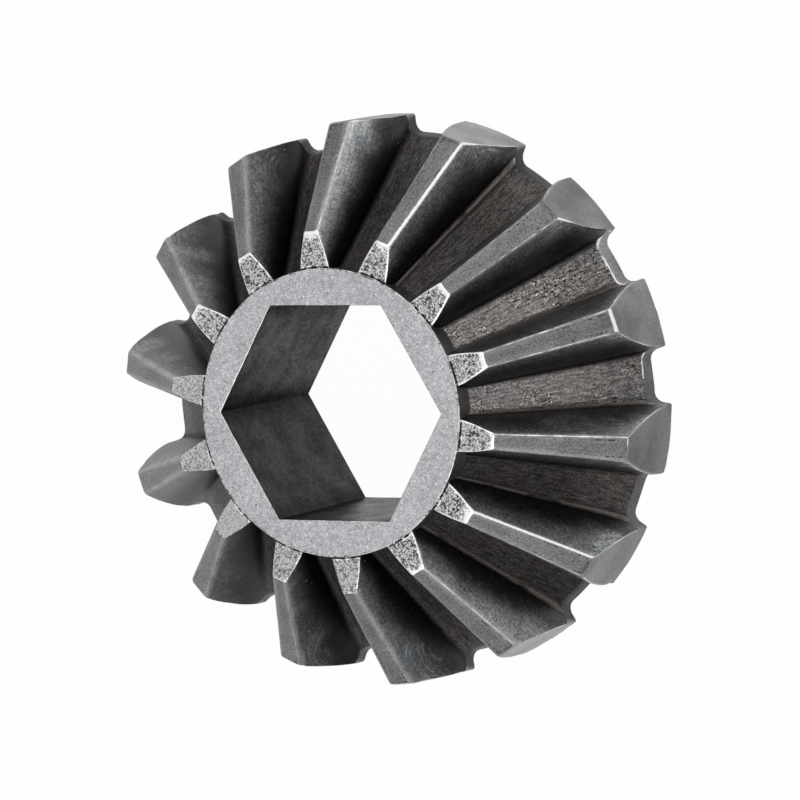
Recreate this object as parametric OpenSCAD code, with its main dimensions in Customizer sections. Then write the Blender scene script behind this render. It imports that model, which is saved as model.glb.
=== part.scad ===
// Straight bevel gear wheel, forged in one piece, with a hexagonal through bore.
// It lies on its flat back face: the axis is +Z, and the teeth narrow upwards,
// towards a pitch apex that lies on the axis above the hub.
// Lengths are in millimetres and angles in degrees.

/* [Teeth] */
// Number of teeth
tooth_count = 14; // [10:1:20]
// Half angle of the pitch cone, 45 for a pair of equal wheels at right angles
pitch_angle = 45; // [42:0.5:48]
// Pressure angle of the involute flanks
pressure_angle = 20; // [18:0.5:24]
// Tooth height outside the pitch cone, in modules
addendum_factor = 0.95; // [0.8:0.01:1]
// Tooth depth inside the pitch cone, in modules
dedendum_factor = 0.87; // [0.8:0.01:1.05]
// How much thinner than half the pitch a tooth is at its large end, for backlash
tooth_thinning = 0.53; // [0:0.01:0.8]
// Radius of the fillet along each side of the root floor, at the large end
root_fillet = 1.3; // [0.6:0.1:1.6]
// Width of the break along both edges of each tip land, at the large end
tip_break = 0.35; // [0.1:0.05:0.6]

/* [Forged blank] */
// Height of the pitch apex above the back face
apex_height = 45; // [43:0.5:48]
// Diameter over the teeth at the back face
outer_d = 77.4; // [74:0.5:80]
// Height of the flat toe ends of the teeth above the back face
toe_height = 25; // [23:0.5:26]
// Draft of the heel faces, which lean inwards from the back face
heel_draft = 1.5; // [0:0.5:4]
// Height of the trimmed band round the back, where the root floors break out
band_height = 2.3; // [1:0.1:4]
// Draft of that band, which widens towards the back face
band_draft = 12; // [4:1:20]
// Radius where each tip land rolls over into its heel face
heel_corner_r = 0.5; // [0.4:0.1:2]
// Chamfer where each tip land meets the toe end
toe_chamfer = 0.3; // [0.1:0.05:0.6]
// Chamfer round the edge of the back face
back_chamfer = 0.4; // [0.2:0.1:1]

/* [Hub and bore] */
// Diameter of the turned hub ring at the small end
hub_d = 38.6; // [37:0.2:40]
// How far the hub face stands above the toe ends of the teeth
hub_step = 0.2; // [0.1:0.05:0.6]
// Chamfer round the edge of the hub face
hub_chamfer = 0.2; // [0.1:0.05:0.4]
// Width of the hexagonal bore across its flats
bore_across_flats = 28.7; // [24:0.1:30]
// Chamfer round both mouths of the bore
bore_chamfer = 0.25; // [0.1:0.05:0.5]

/* [Hidden] */

// Facets of a turned surface, and points along a flank, a fillet and a corner
turned_fn = 112;
flank_steps = 8;
fillet_steps = 4;
corner_steps = 4;
// Overlap of a cut past the face that it opens
cut_past = 1;
steel = [0.47, 0.47, 0.46];

// The tooth form is laid out on the unrolled back cone, as for the equivalent spur
// wheel. Lengths there are shares of the pitch cone's slant length.
slant_length = outer_d / 2 / sin(pitch_angle);
virtual_teeth = tooth_count / cos(pitch_angle);
pitch_r = tan(pitch_angle);
module_share = 2 * pitch_r / virtual_teeth;
base_r = pitch_r * cos(pressure_angle);
tip_r = pitch_r + addendum_factor * module_share;
root_r = pitch_r - dedendum_factor * module_share;

// Half of the angle that a tooth spans on the unrolled back cone
function involute(angle) = tan(angle) * 180 / PI - angle;
function half_tooth(radius) =
    base_half_tooth - involute(acos(min(1, base_r / radius)));
pitch_half_tooth = 90 / virtual_teeth - share_angle(tooth_thinning / 2, pitch_r);
base_half_tooth = pitch_half_tooth + involute(pressure_angle);
function share_angle(length, radius) = length / slant_length / radius * 180 / PI;

// A fillet arc that touches the root circle and a radial line up to the flank
half_gap = 180 / virtual_teeth - base_half_tooth;
fillet_r = min(root_fillet / slant_length, 0.8 * root_r * sin(half_gap));
fillet_centre_r = root_r + fillet_r;
fillet_swing = asin(fillet_r / fillet_centre_r);
flank_start_r = max(base_r, fillet_centre_r * cos(fillet_swing));
fillet_centre_angle = half_tooth(flank_start_r) + fillet_swing;
function fillet_point(turn) =
    let (x = fillet_centre_r - fillet_r * cos(turn), y = fillet_r * sin(turn))
    [norm([x, y]), fillet_centre_angle - atan2(y, x)];

// The tip's edge break leaves the flank at 45 degrees and runs on past the tip cone
break_share = tip_break / slant_length;
break_start_r = tip_r - break_share;
break_end = [
    tip_r + break_share,
    half_tooth(break_start_r) - 2 * share_angle(tip_break, tip_r)
];

// One side of a tooth from root floor to tip, as radius and angle from its middle
tooth_side = concat(
    [for (i = [0:fillet_steps]) fillet_point(i / fillet_steps * (90 - fillet_swing))],
    [
        for (i = [0:flank_steps])
        let (radius = flank_start_r + i / flank_steps * (break_start_r - flank_start_r))
        [radius, half_tooth(radius)]
    ],
    [break_end]
);

// Carried to the apex, a point of the back cone crosses the plane one unit below it
// at this radius
function cone_radius(radius) =
    let (rise = radius - pitch_r)
    (sin(pitch_angle) + rise * cos(pitch_angle))
    / (cos(pitch_angle) - rise * sin(pitch_angle));

function plan_point(radius, angle, tooth, scale) =
    let (r = scale * cone_radius(radius))
    let (turn = angle / cos(pitch_angle) + tooth * 360 / tooth_count)
    [r * cos(turn), r * sin(turn)];

function reversed(list) = [for (i = [len(list) - 1:-1:0]) list[i]];

// Outline of all the teeth where the flank lines cross a plane below the apex
function teeth_outline(depth) = [
    for (tooth = [0:tooth_count - 1])
    each concat(
        [for (p = tooth_side) plan_point(p[0], -p[1], tooth, depth)],
        [for (p = reversed(tooth_side)) plan_point(p[0], p[1], tooth, depth)]
    )
];

// Tip cone and heel face of the blank, and the rounded corner where they meet
tip_slope = cone_radius(tip_r);
tip_angle = atan(tip_slope);
heel_slope = tan(heel_draft);
corner_z = (apex_height * tip_slope - outer_d / 2) / (tip_slope - heel_slope);
corner = [outer_d / 2 - corner_z * heel_slope, corner_z];
function outward(angle) = [cos(angle), sin(angle)];
corner_centre = corner - heel_corner_r * (outward(heel_draft) + outward(tip_angle))
    / (1 + outward(heel_draft) * outward(tip_angle));
corner_arc = [
    for (i = [0:corner_steps])
    let (angle = heel_draft + i / corner_steps * (tip_angle - heel_draft))
    corner_centre + heel_corner_r * outward(angle)
];

toe_r = (apex_height - toe_height) * tip_slope;

// The sides of the trimmed band run to an apex of their own, far above the wheel
band_top_depth = apex_height - band_height;
band_top_r = band_top_depth * cone_radius(root_r);
band_foot_r = band_top_r + band_height * tan(band_draft);
band_apex_height = band_foot_r / tan(band_draft);

hub_height = toe_height + hub_step;

// The blank as forged and trimmed: back face, drafted heel, tip cone and toe plane
module blank() {
    rotate_extrude($fn = turned_fn)
        polygon(concat(
            [
                [0, 0],
                [outer_d / 2 - back_chamfer, 0],
                [outer_d / 2 - back_chamfer * heel_slope, back_chamfer]
            ],
            corner_arc,
            [
                [toe_r + toe_chamfer * tip_slope, toe_height - toe_chamfer],
                [toe_r - toe_chamfer, toe_height],
                [0, toe_height]
            ]
        ));
}

// Flanks, fillets and root floors, whose lines all run to the pitch apex
module converging_teeth() {
    linear_extrude(height = toe_height, scale = 1 - toe_height / apex_height)
        polygon(teeth_outline(apex_height));
}

// The trimmed band round the back cuts the same outline almost parallel to the axis
module trimmed_band() {
    linear_extrude(height = toe_height, scale = 1 - toe_height / band_apex_height)
        polygon(teeth_outline(band_top_depth * band_foot_r / band_top_r));
}

// The turned ring stands in the toe ends of the teeth and closes the tooth spaces
module hub_ring() {
    rotate_extrude($fn = turned_fn)
        polygon([
            [0, band_height],
            [hub_d / 2, band_height],
            [hub_d / 2, hub_height - hub_chamfer],
            [hub_d / 2 - hub_chamfer, hub_height],
            [0, hub_height]
        ]);
}

// A hexagon of the bore's proportions with a corner on +X, under a tooth
module hexagon(across_flats) {
    circle(d = across_flats / cos(30), $fn = 6);
}

module bore_mouth() {
    mouth_af = bore_across_flats + 2 * bore_chamfer;
    depth = bore_chamfer + cut_past;
    translate([0, 0, -bore_chamfer])
        linear_extrude(height = depth, scale = (mouth_af + 2 * cut_past) / bore_across_flats)
            hexagon(bore_across_flats);
}

module hex_bore() {
    translate([0, 0, -cut_past])
        linear_extrude(height = hub_height + 2 * cut_past)
            hexagon(bore_across_flats);
    translate([0, 0, hub_height])
        bore_mouth();
    mirror([0, 0, 1])
        bore_mouth();
}

module gear_wheel() {
    color(steel)
        difference() {
            union() {
                intersection() {
                    blank();
                    converging_teeth();
                    trimmed_band();
                }
                hub_ring();
            }
            hex_bore();
        }
}

gear_wheel();
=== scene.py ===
"""A forged bevel gear wheel: its worn steel surface, and a plain white studio round it.

The surface is one closed grid. Its columns run through the teeth and round the wheel,
and its rows run from the hub face over the teeth, under the back and up the bore.
All lengths are in metres, in the wheel's own frame: it lies on its back face, +Z up.
"""

import math
from itertools import product
from types import SimpleNamespace

import bpy
import numpy as np
from bpy.props import FloatProperty, FloatVectorProperty, IntProperty, PointerProperty
from bpy.types import Operator, Panel, PropertyGroup
from mathutils import Matrix, Vector


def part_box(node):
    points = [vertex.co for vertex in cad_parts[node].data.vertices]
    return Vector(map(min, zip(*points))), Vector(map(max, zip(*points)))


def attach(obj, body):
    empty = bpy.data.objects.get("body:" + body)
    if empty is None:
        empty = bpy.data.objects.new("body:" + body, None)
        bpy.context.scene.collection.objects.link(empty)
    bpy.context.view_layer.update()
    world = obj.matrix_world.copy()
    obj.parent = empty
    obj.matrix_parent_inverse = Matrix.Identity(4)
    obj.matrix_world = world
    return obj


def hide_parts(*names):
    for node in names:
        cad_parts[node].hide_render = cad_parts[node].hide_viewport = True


bl_info = {
    "name": "Bevel Gear Wheel",
    "version": (1, 0, 0),
    "blender": (4, 5, 0),
    "location": "3D View > Sidebar > Gear Wheel",
    "description": "Adds a forged bevel gear wheel with worn steel surfaces and its studio",
    "category": "Add Mesh",
}

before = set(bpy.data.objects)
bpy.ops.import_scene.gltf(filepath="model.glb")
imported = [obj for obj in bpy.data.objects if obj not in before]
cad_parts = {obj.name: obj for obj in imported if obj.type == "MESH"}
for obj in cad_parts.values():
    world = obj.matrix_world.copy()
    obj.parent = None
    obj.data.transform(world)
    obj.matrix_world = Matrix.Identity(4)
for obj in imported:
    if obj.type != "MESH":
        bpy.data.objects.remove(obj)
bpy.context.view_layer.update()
wheel_low, wheel_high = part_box("gear_wheel")

MM = 0.001


# Settings


def length_setting(name, description, default):
    """A length in metres."""
    return FloatProperty(name=name, description=description, default=default, unit="LENGTH")


def angle_setting(name, description, degrees):
    """An angle, whose default is given in degrees."""
    return FloatProperty(
        name=name, description=description, default=math.radians(degrees), subtype="ANGLE"
    )


def number_setting(name, description, default):
    """A share, factor or power."""
    return FloatProperty(name=name, description=description, default=default)


def colour_setting(name, description, linear):
    """A linear colour."""
    return FloatVectorProperty(
        name=name, description=description, default=linear, subtype="COLOR", size=3, min=0, max=1
    )


class WheelShape(PropertyGroup):
    """Driving sizes of the wheel, as in its construction"""

    tooth_count: IntProperty(name="Teeth", description="Number of teeth", default=14, min=8)
    pitch_angle: angle_setting("Pitch Angle", "Half angle of the pitch cone", 45)
    pressure_angle: angle_setting("Pressure Angle", "Pressure angle of the involute flanks", 20)
    addendum: number_setting("Addendum", "Tooth height outside the pitch cone, in modules", 0.95)
    dedendum: number_setting("Dedendum", "Tooth depth inside the pitch cone, in modules", 0.87)
    thinning: length_setting("Thinning", "Thickness taken off a tooth for backlash", 0.53 * MM)
    root_fillet: length_setting("Root Fillet", "Fillet of the root at its large end", 1.3 * MM)
    apex_height: length_setting("Apex Height", "Height of the apex above the back face", 45 * MM)
    outer_diameter: length_setting(
        "Outer Diameter", "Diameter over the teeth at the back face", wheel_high.x - wheel_low.x
    )
    hub_height: length_setting("Hub Height", "Height of the hub face", wheel_high.z)
    hub_step: length_setting("Hub Step", "Height of the hub face above the toe ends", 0.2 * MM)
    hub_diameter: length_setting("Hub Diameter", "Diameter of the turned hub ring", 38.6 * MM)
    bore_flats: length_setting("Bore", "Width of the hexagonal bore across its flats", 28.7 * MM)
    heel_draft: angle_setting("Heel Draft", "Lean of the heel faces", 1.5)
    band_height: length_setting("Band Height", "Height of the trimmed band at the back", 2.3 * MM)
    band_draft: angle_setting("Band Draft", "Draft of that band", 12)


class WheelWear(PropertyGroup):
    """Rounding of the edges, and unevenness of the forged surface"""

    tip_edge: length_setting("Tip Edge", "Radius of the worn edges of the teeth", 0.26 * MM)
    heel_edge: length_setting("Heel Edge", "That radius next to the heel corner", 0.35 * MM)
    heel_corner: length_setting("Heel Corner", "Radius between tip land and heel", 0.5 * MM)
    toe_edge: length_setting("Toe Edge", "Radius round the toe ends", 0.22 * MM)
    band_edge: length_setting("Band Edge", "Radius between a root floor and the band", 0.35 * MM)
    hub_edge: length_setting("Hub Edge", "Radius round the hub face", 0.1 * MM)
    bore_edge: length_setting("Bore Edge", "Radius round both mouths of the bore", 0.18 * MM)
    back_edge: length_setting("Back Edge", "Radius round the back face", 0.4 * MM)
    edge_variation: number_setting("Edge Variation", "Share by which these radii vary", 0.45)
    unevenness: length_setting("Unevenness", "Depth of hollows in forged surfaces", 0.07 * MM)
    chips: length_setting("Chips", "Depth of the dents along heel and band edges", 0.14 * MM)
    # Along the tip edges this bright wear is partly a painted highlight
    wear_and_highlight_width: length_setting("Wear Width", "Reach of the bright wear from an edge", 0.13 * MM)
    seed: IntProperty(name="Seed", description="Seed of the unevenness", default=4)


class WheelFinish(PropertyGroup):
    """Colours of the steel, as linear values"""

    turned: colour_setting("Hub Face", "Turned hub face", (0.43, 0.42, 0.44))
    toe: colour_setting("Toe Ends", "Ground toe ends of the teeth", (0.44, 0.425, 0.435))
    land: colour_setting("Tip Lands", "Tip lands of the teeth", (0.155, 0.155, 0.155))
    flank: colour_setting("Flanks", "Upper part of the flanks", (0.12, 0.12, 0.12))
    # The near black of the low flanks is partly their dark skin and partly painted shade
    gap: colour_setting("Low Flanks", "Flanks next to the root", (0.016, 0.016, 0.015))
    floor: colour_setting("Root Floors", "Scale on the root floors", (0.147, 0.141, 0.138))
    rust: colour_setting("Brown Scale", "Brown patches of that scale", (0.144, 0.129, 0.123))
    ridge: colour_setting("Ridges", "Pale lines along the root floors", (0.21, 0.175, 0.165))
    heel: colour_setting("Heel Faces", "Heel faces and band", (0.19, 0.195, 0.19))
    bore: colour_setting("Bore", "Broached wall of the bore", (0.034, 0.035, 0.034))
    back: colour_setting("Back Face", "Machined back face", (0.30, 0.29, 0.30))
    worn: colour_setting("Worn Edges", "Bright steel of the worn edges", (0.85, 0.84, 0.84))
    # Also the colour of the painted shadow at the foot of the hub ring
    dirt_and_painted_shadow: colour_setting("Pits", "Dark pits and seams", (0.015, 0.014, 0.014))


class StudioSetup(PropertyGroup):
    """Camera, lamps and floor"""

    aim: FloatVectorProperty(
        name="Aim", description="Point that the camera looks at",
        default=(1.62 * MM, 3.84 * MM, 12.6 * MM), subtype="TRANSLATION", unit="LENGTH",
    )
    azimuth: angle_setting("Azimuth", "Direction of the camera round the wheel", 71.448)
    elevation: angle_setting("Elevation", "Height of the camera above the floor", 62.198)
    roll: angle_setting("Roll", "Turn of the camera about its line of sight", -102.49)
    distance: length_setting("Distance", "Distance of the camera", 634.8 * MM)
    lens: FloatProperty(
        name="Lens", description="Focal length in millimetres", default=211.93, unit="CAMERA"
    )
    sky: number_setting("Sky", "Strength of the soft light all round", 0.55)
    key: number_setting("Key", "Power of the main lamp in watts", 1.1)
    fill: number_setting("Fill", "Power of the second lamp in watts", 0.5)


# The rounded shape of the wheel, as a signed distance

# Fillet along the foot of the hub ring, and height of the lip round the trimmed band
FOOT_FILLET = 0.05 * MM
LIP = 0.16 * MM


def involute(angle):
    """How far an involute has turned from its start to where its pressure angle is this."""
    return np.tan(angle) - angle


def rounded_max(a, b, radius):
    """Signed distance of the overlap of two solids, with their common edge rounded."""
    edge = np.hypot(np.maximum(a + radius, 0), np.maximum(b + radius, 0))
    return np.minimum(np.maximum(a, b), -radius) + edge


def rounded_min(a, b, radius):
    """Signed distance of two solids together, with a fillet along their common corner."""
    return -rounded_max(-a, -b, radius)


def wheel_form(shape):
    """The wheel's sizes, and proportions of its teeth on the unrolled back cone, where
    lengths are shares of the pitch cone's slant length, as for the equivalent spur wheel."""
    form = SimpleNamespace(**{name: getattr(shape, name) for name in shape.__annotations__})
    form.pitch_turn = 2 * math.pi / form.tooth_count
    form.turn_per_share = 1 / math.cos(form.pitch_angle)
    form.outer_r = form.outer_diameter / 2
    form.hub_r = form.hub_diameter / 2
    form.bore_apothem = form.bore_flats / 2
    form.toe_height = form.hub_height - form.hub_step
    form.toe_depth = form.apex_height - form.toe_height

    virtual_teeth = form.tooth_count / math.cos(form.pitch_angle)
    form.slant = form.outer_r / math.sin(form.pitch_angle)
    form.pitch_r = math.tan(form.pitch_angle)
    module = 2 * form.pitch_r / virtual_teeth
    form.base_r = form.pitch_r * math.cos(form.pressure_angle)
    form.tip_r = form.pitch_r + form.addendum * module
    form.root_r = form.pitch_r - form.dedendum * module
    form.fillet = form.root_fillet / form.slant
    pitch_half_tooth = math.pi / 2 / virtual_teeth - form.thinning / 2 / form.slant / form.pitch_r
    base_half_tooth = pitch_half_tooth + involute(form.pressure_angle)
    form.gap_middle = math.pi / virtual_teeth

    def slope(share):
        """Radius over depth below the apex, for a line that crosses the back cone there."""
        return np.tan(form.pitch_angle + np.arctan(share - form.pitch_r))

    def half_tooth(share):
        """Half the angle of a tooth on the back cone: the involute of the base circle."""
        return base_half_tooth - involute(np.arccos(np.minimum(1, form.base_r / share)))

    form.slope, form.half_tooth = slope, half_tooth
    band_top = form.apex_height - form.band_height
    band_foot_r = band_top * slope(form.root_r) + form.band_height * math.tan(form.band_draft)
    form.band_apex = band_foot_r / math.tan(form.band_draft)
    form.band_foot_depth = band_foot_r / slope(form.root_r)
    return form


def tooth_space(form, radius, depth, turn):
    """Signed distance to flanks, fillets and root floors, whose lines run to an apex at
    depth zero. An involute's distance is its base radius times the angle to the flank."""
    lean = np.arctan2(radius, depth) - form.pitch_angle
    reach = np.hypot(radius, depth) * np.cos(lean)
    share = form.pitch_r + np.tan(lean)
    off_flank = turn / form.turn_per_share - form.half_tooth(share)
    flank = reach * np.minimum(share, form.base_r) * off_flank
    root = reach * (share - form.root_r)
    return rounded_min(root, flank, form.fillet * reach)


def surface_distances(form, points):
    """Signed distance of each point to each surface, positive outside the steel."""
    x, y, z = points
    radius = np.hypot(x, y)
    depth = form.apex_height - z
    turn = np.arctan2(y, x)
    turn = np.abs(turn - form.pitch_turn * np.round(turn / form.pitch_turn))
    band_depth = form.band_foot_depth * (1 - z / form.band_apex)
    tip_angle = math.atan(form.slope(form.tip_r))
    flats = [
        np.abs(x * math.cos(angle) + y * math.sin(angle))
        for angle in np.radians([30, 90, 150])
    ]
    return SimpleNamespace(
        space=tooth_space(form, radius, depth, turn),
        band=tooth_space(form, radius, band_depth, turn),
        tip=np.hypot(radius, depth) * np.sin(np.arctan2(radius, depth) - tip_angle),
        heel=(radius - form.outer_r) * math.cos(form.heel_draft) + z * math.sin(form.heel_draft),
        toe=z - form.toe_height,
        hub_wall=radius - form.hub_r,
        hub_face=z - form.hub_height,
        back=-z,
        bore=form.bore_apothem - np.maximum.reduce(flats),
    )


def lattice_noise(points, cell, seed):
    """Smooth noise from -1 to 1: random values on a cubic lattice, blended between them."""
    size = 32
    table = np.random.default_rng(seed).uniform(-1, 1, (size,) * 3)
    place = points / cell
    low = np.floor(place).astype(int)
    share = place - low
    share = share * share * (3 - 2 * share)
    total = np.zeros(points.shape[1:])
    for corner in product((0, 1), repeat=3):
        weight = np.prod([s if c else 1 - s for s, c in zip(share, corner)], axis=0)
        total += weight * table[tuple((part + c) % size for part, c in zip(low, corner))]
    return total


def edge_radii(form, wear, points):
    """Radius of each kind of edge at every point of the grid. The forged edges are uneven,
    and those of the teeth are rounder where tip land, flank and heel meet."""
    d = surface_distances(form, points)
    uneven = 1 + wear.edge_variation * lattice_noise(points, 2.2 * MM, wear.seed + 3)
    at_corner = np.clip(1 - np.hypot(d.tip, d.heel) / (2.5 * MM), 0, 1)
    side = wear.tip_edge + (wear.heel_edge - wear.tip_edge) * at_corner
    return SimpleNamespace(
        side=side * uneven, heel_corner=wear.heel_corner * uneven, toe=wear.toe_edge * uneven,
        band=wear.band_edge * uneven, back=wear.back_edge * uneven,
        hub=wear.hub_edge, bore=wear.bore_edge,
    )


def signed_distance(form, radii, points):
    """Signed distance to the whole wheel: the blank, cut by the tooth spaces and the
    trimmed band, joined to the hub ring and cut by the bore, with every edge rounded."""
    d = surface_distances(form, points)
    blank = rounded_max(rounded_max(d.tip, d.heel, radii.heel_corner), d.toe, radii.toe)
    teeth = rounded_max(blank, rounded_max(d.space, d.band, radii.band), radii.side)
    hub = rounded_max(d.hub_wall, d.hub_face, radii.hub)
    forging = rounded_min(teeth, hub, FOOT_FILLET)
    return rounded_max(rounded_max(forging, d.back, radii.back), d.bore, radii.bore)


def steepest_way(form, radii, points):
    """Gradient of the signed distance, by central differences."""
    step = 0.01 * MM
    slopes = []
    for axis in np.eye(3):
        shift = step * axis[:, None, None]
        ahead = signed_distance(form, radii, points + shift)
        behind = signed_distance(form, radii, points - shift)
        slopes.append((ahead - behind) / (2 * step))
    return np.array(slopes)


# The grid of the surface

# The stretches that a row can be on
HUB_FACE, HUB_STEP, TOE_END, TOOTH_LINE, HEEL, BACK_FACE, BORE = range(7)
# Distance of the columns next to a tip edge, in millimetres, and numbers of the others
NEAR_TIP_EDGE = (0, 0.12, 0.26, 0.42)
FLANK_COLUMNS, FILLET_COLUMNS, FLOOR_COLUMNS = 10, 4, 3
# Distance of the rows next to an edge between two stretches, in millimetres
NEAR_BORE = (0.08, 0.17, 0.28)
NEAR_TOE = (0.13, 0.28, 0.45)
NEAR_HEEL = (0.12, 0.25, 0.42, 0.7)
NEAR_BACK = (0.12, 0.26, 0.42)
# Those rows at both ends of each stretch, and the number of even steps between them
STRETCHES = (
    (NEAR_BORE, 9, (0.06, 0.14, 0.26)),
    ((0.06,), 2, (0.05,)),
    ((0.08, 0.2, 0.4), 8, NEAR_TOE),
    (NEAR_TOE, 41, NEAR_HEEL),
    (NEAR_HEEL, 12, NEAR_BACK),
    (NEAR_BACK, 9, NEAR_BORE),
    (NEAR_BORE, 12, NEAR_BORE),
)


def tooth_columns(form):
    """Angle round the wheel and slope of each column's line to the apex, for one half
    tooth from its middle to the middle of the gap: tip land, flank, fillet, root floor."""
    near_edge = np.array(NEAR_TIP_EDGE) * MM / (0.75 * form.slant)
    half_land = form.half_tooth(form.tip_r)
    edge_turn = near_edge[::-1] / form.tip_r
    land_turn = np.concatenate(([0, 0.36 * half_land], half_land - edge_turn))

    fillet_centre = form.root_r + form.fillet
    swing = math.asin(form.fillet / fillet_centre)
    flank_start = max(form.base_r, fillet_centre * math.cos(swing))
    lower_flank = np.linspace(form.tip_r - 1.6 * near_edge[-1], flank_start, FLANK_COLUMNS)
    flank_share = np.concatenate((form.tip_r - near_edge[1:], lower_flank))

    arc = np.linspace(math.pi / 2 - swing, 0, FILLET_COLUMNS + 1)[1:]
    fillet_x = fillet_centre - form.fillet * np.cos(arc)
    fillet_y = form.fillet * np.sin(arc)
    fillet_middle = form.half_tooth(flank_start) + swing
    floor_turn = np.linspace(fillet_middle, form.gap_middle, FLOOR_COLUMNS + 1)[1:]
    turn = np.concatenate((
        land_turn, form.half_tooth(flank_share),
        fillet_middle - np.arctan2(fillet_y, fillet_x), floor_turn,
    ))
    share = np.concatenate((
        np.full(land_turn.size, form.tip_r), flank_share,
        np.hypot(fillet_x, fillet_y), np.full(floor_turn.size, form.root_r),
    ))
    return turn * form.turn_per_share, share


def all_columns(form):
    """The half tooth's columns mirrored and repeated round the wheel. The last column of
    one tooth is the first of the next, so it is left out."""
    turn, share = tooth_columns(form)
    turn = np.concatenate((-turn[::-1], turn[1:-1]))
    share = np.concatenate((share[::-1], share[1:-1]))
    starts = np.arange(form.tooth_count)[:, None] * form.pitch_turn
    return (starts + turn).ravel(), np.tile(share, form.tooth_count)


def stations(length, start, count, end):
    """Distances along a stretch of every column, with the given close steps at its start
    and end and even steps between. On a short stretch the close steps shrink."""
    start, end = np.array(start)[:, None] * MM, np.array(end)[::-1, None] * MM
    start = start * np.minimum(1, 0.45 * length / start[-1])
    end = length - end * np.minimum(1, 0.45 * length / end[0])
    middle = np.linspace(start[-1], end[0], count + 1)[1:-1]
    return np.concatenate((np.zeros((1, length.size)), start, middle, end))


def section_rows(form, share, bore_r):
    """Radius and height of every row at every column, and the stretch that each row is on:
    hub face, hub step, toe end, tooth line, heel or band, back face, bore wall."""
    slope = form.slope(share)
    hub_r = np.full_like(share, form.hub_r)
    top = np.full_like(share, form.hub_height)
    toe_r = np.maximum(form.hub_r, slope * form.toe_depth)
    toe_z = form.apex_height - toe_r / slope
    draft = math.tan(form.heel_draft)
    heel_z = (form.apex_height * slope - form.outer_r) / (slope - draft)
    heel_z = np.maximum(heel_z, form.band_height)
    heel_r = slope * (form.apex_height - heel_z)
    back_r = np.minimum(form.outer_r, slope * form.band_foot_depth)
    ground = np.zeros_like(share)

    corners_r = [bore_r, hub_r, hub_r, toe_r, heel_r, back_r, bore_r, bore_r]
    corners_z = [top, top, top - form.hub_step, toe_z, heel_z, ground, ground, top]
    rows_r, rows_z, stretch = [], [], []
    for i, (start, count, end) in enumerate(STRETCHES):
        along_r = corners_r[i + 1] - corners_r[i]
        along_z = corners_z[i + 1] - corners_z[i]
        length = np.maximum(np.hypot(along_r, along_z), 1e-9)
        way = stations(length, start, count, end) / length
        rows_r.append(corners_r[i] + along_r * way)
        rows_z.append(corners_z[i] + along_z * way)
        stretch.append(np.full(way.shape[0], i))
    return np.concatenate(rows_r), np.concatenate(rows_z), np.concatenate(stretch)


def wheel_grid(form):
    """Points of the grid before its edges are rounded, as an array of (xyz, row, column),
    and the stretch of each row. At the bore the nearest column turns on to each corner of
    the hexagon, and the rows of the two flat faces take up that turn."""
    turn, share = all_columns(form)
    bore_turn = turn.copy()
    for corner in np.radians(range(0, 360, 60)):
        way = np.angle(np.exp(1j * (corner - turn)))
        nearest = np.argmin(np.abs(way))
        bore_turn[nearest] += way[nearest]
    side = math.pi / 3
    bore_r = form.bore_apothem / np.cos(bore_turn % side - side / 2)
    radius, height, stretch = section_rows(form, share, bore_r)
    at_bore = np.clip((form.hub_r - radius) / (form.hub_r - bore_r), 0, 1)
    angle = turn + (bore_turn - turn) * at_bore
    points = np.array([radius * np.cos(angle), radius * np.sin(angle), height])
    return points, stretch, share


def settle(form, radii, points, rounds=6):
    """Moves each point down the steepest way until its signed distance is zero."""
    for _ in range(rounds):
        slope = steepest_way(form, radii, points)
        steepness = np.maximum((slope**2).sum(axis=0), 0.05)
        points = points - slope * signed_distance(form, radii, points) / steepness
    return points


def survey(form, points):
    """The signed distances of every point; its height on the tooth, 0 at the root cone and
    1 at the tip cone; the number of the nearest tooth, from 0 on +X and anticlockwise; the
    side of the tooth, 0 clockwise and 1 anticlockwise; and the gap, which follows its tooth."""
    at = surface_distances(form, points)
    lean = np.arctan2(np.hypot(*points[:2]), form.apex_height - points[2]) - form.pitch_angle
    share = form.pitch_r + np.tan(lean)
    at.height = np.clip((share - form.root_r) / (form.tip_r - form.root_r), 0, 1)
    turn = np.arctan2(points[1], points[0]) / form.pitch_turn
    tooth = np.round(turn).astype(int)
    at.tooth = tooth % form.tooth_count
    at.side = (turn > tooth).astype(int)
    at.gap = np.floor(turn).astype(int) % form.tooth_count
    return at


def forge(form, wear, radii, points, at):
    """Sinks hollows into the forged surfaces, along their normals, dents their edges, and
    raises a small lip where each root floor was trimmed. Turned surfaces stay true."""
    way = steepest_way(form, radii, points)
    way /= np.maximum(np.linalg.norm(way, axis=0), 1e-6)
    forged = np.clip(at.hub_wall / MM, 0, 1) * np.clip(-at.back / MM, 0, 1)
    waves = 0.65 * lattice_noise(points, 5 * MM, wear.seed)
    waves += 0.35 * lattice_noise(points, 1.7 * MM, wear.seed + 1)
    depth = wear.unevenness * (0.45 + 0.55 * (1 - at.height) ** 2) * (0.5 + 0.5 * waves)
    floor = (1 - at.height) ** 6 * np.clip(1 - np.abs(at.space) / (0.2 * MM), 0, 1)
    crumbs = np.clip(0.35 + lattice_noise(points, 1.1 * MM, wear.seed + 2), 0, 1)
    lip = LIP * np.exp(-(((at.band + 0.4 * MM) / (0.3 * MM)) ** 2)) * floor * crumbs
    outer = np.minimum(off_edge(at.space, at.heel), off_edge(at.heel, at.back))
    at_edge = np.clip(1.4 - outer / (0.5 * MM), 0, 1)
    dents = np.clip(2.5 * lattice_noise(points, 1.6 * MM, wear.seed + 6) - 1, 0, 1) * at_edge
    return points + way * ((lip - depth) * forged - wear.chips * dents)


# Wear of the surface

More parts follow.
